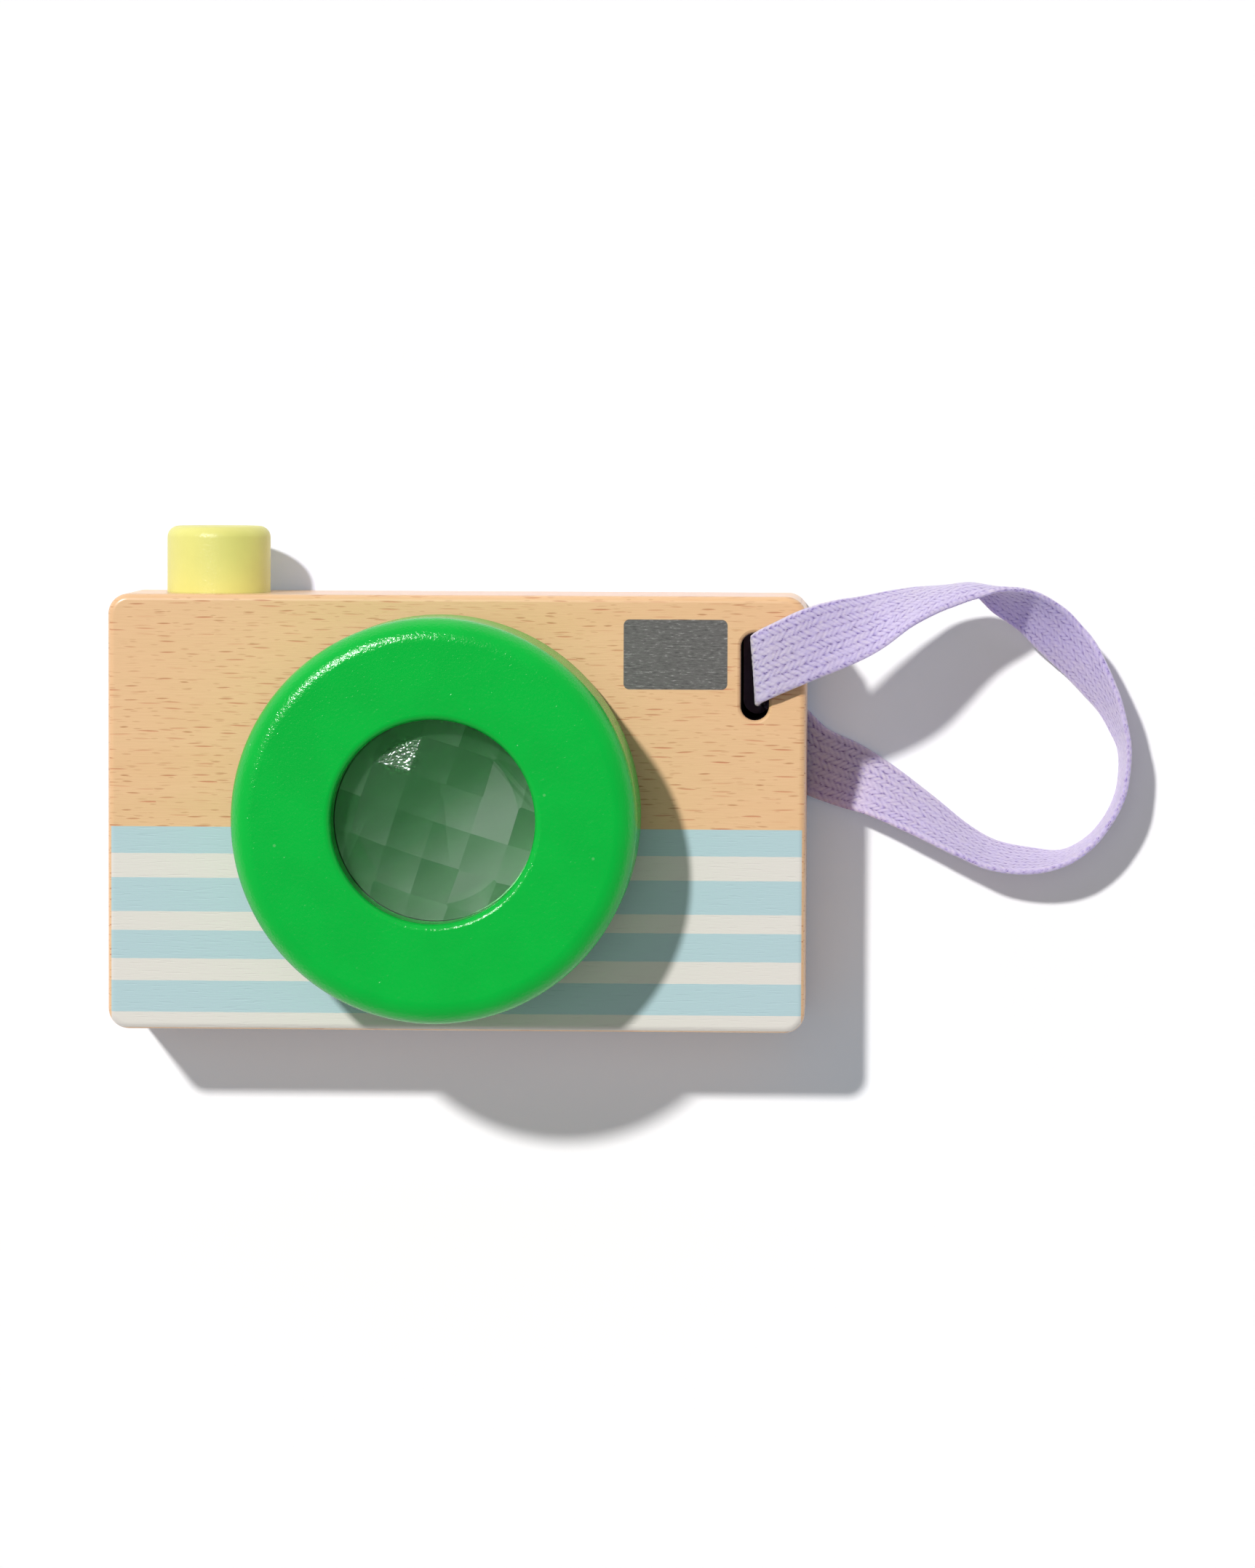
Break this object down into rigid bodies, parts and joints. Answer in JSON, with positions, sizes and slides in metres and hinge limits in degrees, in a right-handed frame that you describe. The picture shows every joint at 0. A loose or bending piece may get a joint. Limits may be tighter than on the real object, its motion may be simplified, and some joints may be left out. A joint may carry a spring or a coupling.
{
  "type": "toy camera",
  "caption": "Wooden toy camera lying on its back: turning lens ring with a faceted clear lens, sprung shutter button, striped front and a tape wrist strap.",
  "frame": {"origin": "middle of the outline without the strap, on the back face", "axes": "+X towards the strap's side, +Y towards the shutter button, +Z out of the lens"},
  "size_m": [0.1764, 0.0864, 0.0527],
  "materials": {
    "beech": "bare beech, sanded, with a striped print and a grey painted window on the front",
    "green_paint": "turned beech with green satin paint",
    "yellow_paint": "beech dowel with yellow satin paint",
    "clear_plastic": "clear polished acrylic",
    "felt": "pressed felt",
    "rubber": "soft black rubber",
    "steel": "zinc plated steel",
    "tape": "lavender herringbone tape",
    "thread": "sewing thread"
  },
  "bodies": {
    "camera_body": {"body_block": "beech", "front_washer": "felt", "rear_washer": "felt", "eyepiece_ring": "beech", "eyepiece_window": "clear_plastic", "button_spring": "steel", "spring_seat": "steel", "button_pin": "steel", "pin_plug": "beech", "strap": "tape", "strap_stitches": "thread"},
    "lens_unit": {"lens_ring": "green_paint", "faceted_lens": "clear_plastic", "lens_seal": "rubber", "lens_tube": "green_paint", "retaining_flange": "beech", "flange_screws": "steel"},
    "shutter": {"shutter_button": "yellow_paint"}
  },
  "joints": [
    {"name": "lens_turn", "type": "hinge", "parent": "camera_body", "child": "lens_unit", "pos_m": [-0.0024, -0.00575, 0.03], "axis": [0, 0, 1], "continuous": true},
    {"name": "button_press", "type": "slide", "parent": "camera_body", "child": "shutter", "axis": [0, -1, 0], "range_m": [0, 0.004], "stiffness_N_per_m": 450, "springref_m": -0.003, "deforming": ["button_spring"]}
  ]
}
